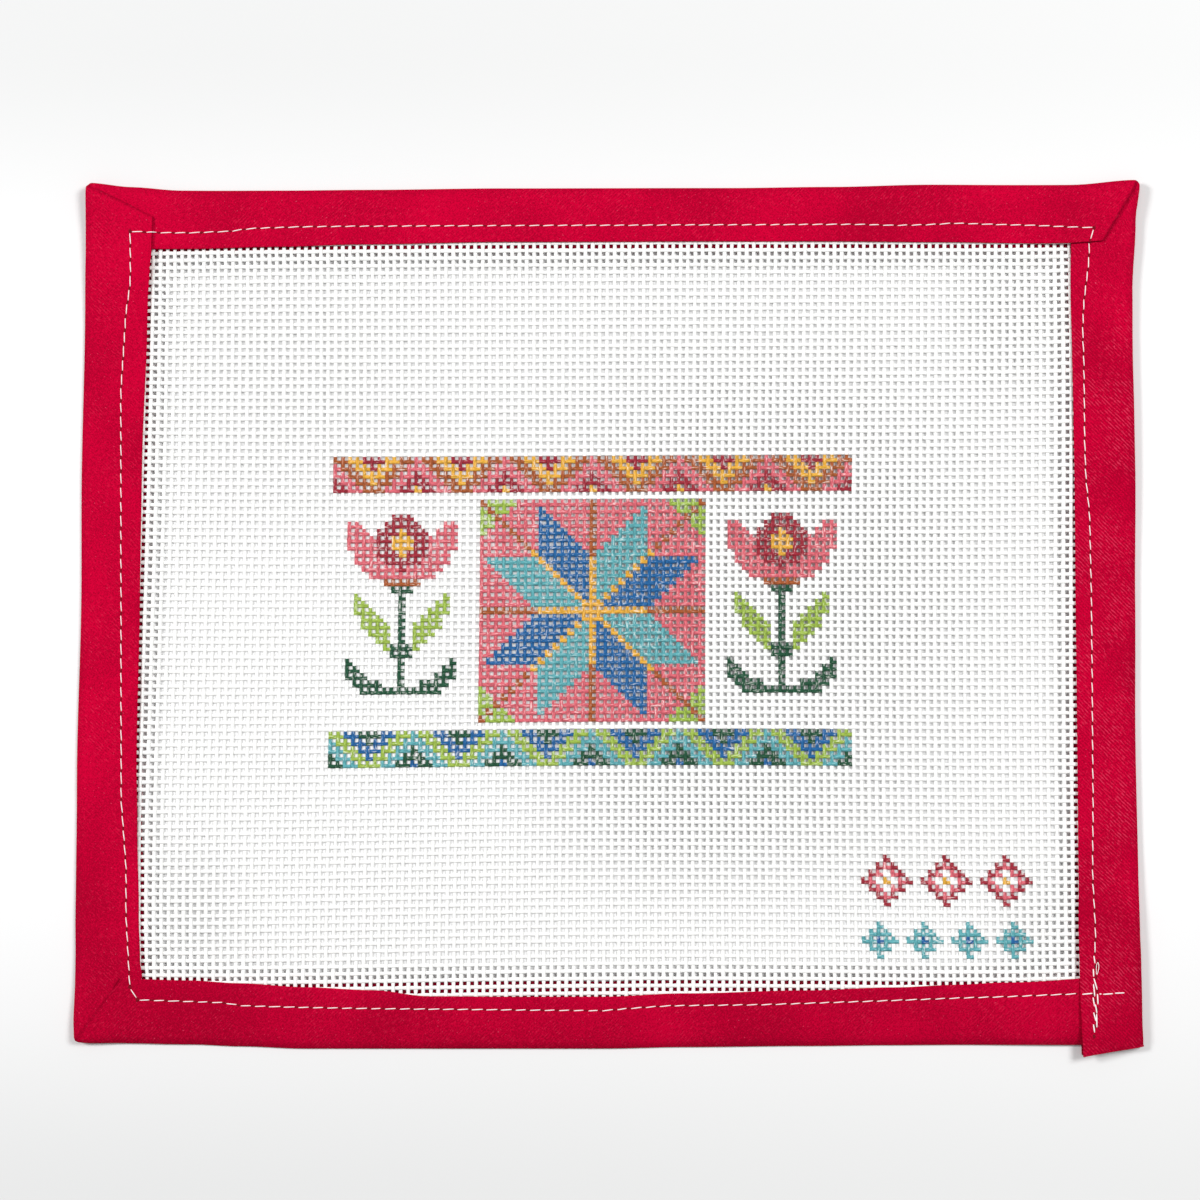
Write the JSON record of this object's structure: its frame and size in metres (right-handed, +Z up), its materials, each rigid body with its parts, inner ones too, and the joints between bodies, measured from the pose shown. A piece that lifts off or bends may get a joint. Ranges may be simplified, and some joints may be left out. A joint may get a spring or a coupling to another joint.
{
  "type": "needlepoint canvas panel",
  "caption": "Flat rectangular panel of open-weave white needlepoint canvas with a charted motif painted on its threads, bound all round with folded crimson bias tape.",
  "frame": {"origin": "on the surface the panel lies on, under the middle of its outline", "axes": "+X to the right of the panel, +Y to its top, +Z up out of its face"},
  "size_m": [0.2826, 0.2324, 0.0071],
  "materials": {
    "canvas_cotton": "stiffened white cotton thread, matt",
    "binding_cotton": "plain-weave crimson cotton cut on the bias, matt"
  },
  "bodies": {
    "root": {"canvas": "canvas_cotton", "binding": "binding_cotton"}
  },
  "joints": []
}
